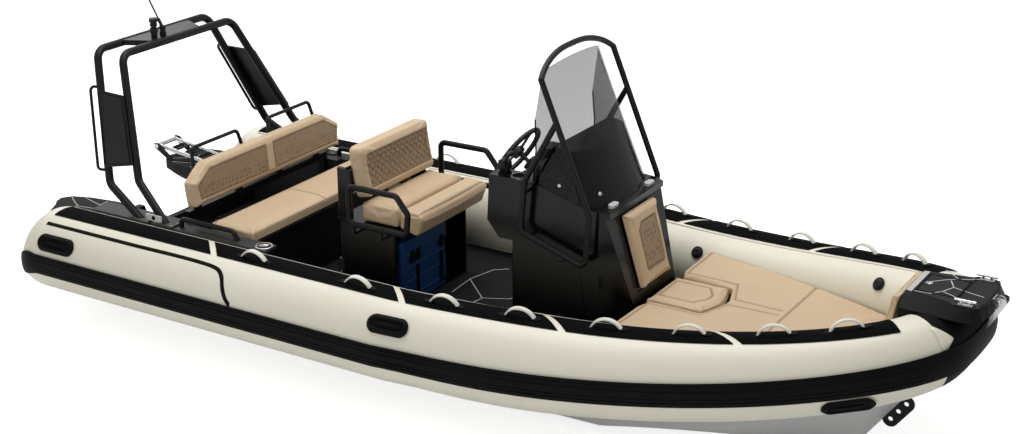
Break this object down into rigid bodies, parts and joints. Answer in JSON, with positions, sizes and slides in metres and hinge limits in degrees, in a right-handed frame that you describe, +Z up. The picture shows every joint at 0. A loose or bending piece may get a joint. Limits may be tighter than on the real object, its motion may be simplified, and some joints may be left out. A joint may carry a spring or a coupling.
{
  "type": "inflatable rib boat",
  "caption": "Rigid inflatable boat with deep-V hull, air tubes, steering console with windscreen hoop, helm seat, stern bench, stern arch and bow cushions.",
  "frame": {"origin": "on the centreline at the waterline, amidships", "axes": "+X to the bow, +Y to port, +Z up"},
  "size_m": [5.809, 2.368, 2.716],
  "materials": {
    "hull_aluminium": "painted satin grey",
    "deck_eva": "matte foam",
    "tube_cream": "satin coated fabric",
    "rubber_black": "matte",
    "rubber_cream": "matte",
    "plastic_black": "matte",
    "powder_black": "satin powder coat",
    "stainless": "polished",
    "powder_grey": "satin",
    "vinyl_tan": "soft vinyl",
    "gelcoat_black": "gloss",
    "cool_box_blue": "satin",
    "screen_smoked": "smoked clear",
    "wheel_black": "soft grip",
    "lens_white": "lens"
  },
  "bodies": {
    "boat": {"hull": "hull_aluminium", "deck": "deck_eva", "transom": "hull_aluminium", "tube_starboard": "tube_cream", "tube_port": "tube_cream", "bow_nose": "rubber_black", "rub_strakes": "rubber_black", "tread_panels": "rubber_black", "grip_patches": "rubber_black", "grab_handles": "rubber_cream", "inflation_valves": "plastic_black", "swim_platforms": "powder_black", "side_decks": "powder_grey", "cup_holders": "stainless", "bench_locker": "powder_black", "bench_back_cushion": "vinyl_tan", "bench_back_frame": "powder_black", "bench_side_rails": "powder_black", "arch_frame": "powder_black", "arch_feet": "powder_grey", "arch_top_plate": "powder_black", "arch_side_panels": "plastic_black", "arch_grab_bars": "powder_black", "masthead_light": "plastic_black", "antenna": "plastic_black", "helm_pod": "gelcoat_black", "helm_armrests": "powder_black", "helm_back_cushion": "vinyl_tan", "helm_seat_cushion": "vinyl_tan", "cool_box": "cool_box_blue", "console": "gelcoat_black", "console_hoop": "powder_black", "windscreen": "screen_smoked", "dash_panel": "plastic_black", "throttle": "plastic_black", "console_lights": "lens_white", "bow_locker": "powder_black", "bow_pads": "vinyl_tan", "bow_back_cushion": "vinyl_tan", "bow_step": "powder_black", "bow_roller": "stainless", "bow_cleats": "stainless", "bow_eye": "powder_black"},
    "bench_seat": {"bench_lid": "plastic_black", "bench_cushion": "vinyl_tan"},
    "bolster": {"helm_bolster": "vinyl_tan"},
    "wheel": {"steering_wheel": "wheel_black"},
    "door": {"console_door": "gelcoat_black", "console_door_cushion": "vinyl_tan"},
    "bow_hatch": {"bow_hatch_board": "plastic_black", "bow_hatch_cushion": "vinyl_tan"},
    "anchor_hatch": {"anchor_lid": "deck_eva"},
    "ladder": {"boarding_ladder": "stainless"}
  },
  "joints": [
    {"name": "bench_seat_hinge", "type": "hinge", "parent": "boat", "child": "bench_seat", "pos_m": [-1.48, 0, 0.5963], "axis": [0, -1, 0], "range_deg": [0, 80]},
    {"name": "bolster_flip", "type": "hinge", "parent": "boat", "child": "bolster", "pos_m": [-0.385, 0, 0.853], "axis": [0, -1, 0], "range_deg": [0, 88]},
    {"name": "steering", "type": "hinge", "parent": "boat", "child": "wheel", "pos_m": [0.18, 0, 1.19], "axis": [-0.848, 0, 0.5299], "range_deg": [-630, 630]},
    {"name": "console_door_hinge", "type": "hinge", "parent": "boat", "child": "door", "pos_m": [0.9681, 0.18, 0.81978], "axis": [-0.2785, 0, 0.9605], "range_deg": [0, 90]},
    {"name": "bow_hatch_fold", "type": "hinge", "parent": "boat", "child": "bow_hatch", "pos_m": [1.441, 0, 0.589], "axis": [0, 1, 0], "range_deg": [0, 100]},
    {"name": "anchor_lid_hinge", "type": "hinge", "parent": "boat", "child": "anchor_hatch", "pos_m": [2.685, 0, 0.9255], "axis": [0, 1, 0], "range_deg": [0, 100]},
    {"name": "ladder_hinge", "type": "hinge", "parent": "boat", "child": "ladder", "pos_m": [-2.895, 0.522, 0.57982], "axis": [0, -1, 0], "range_deg": [0, 265]}
  ]
}
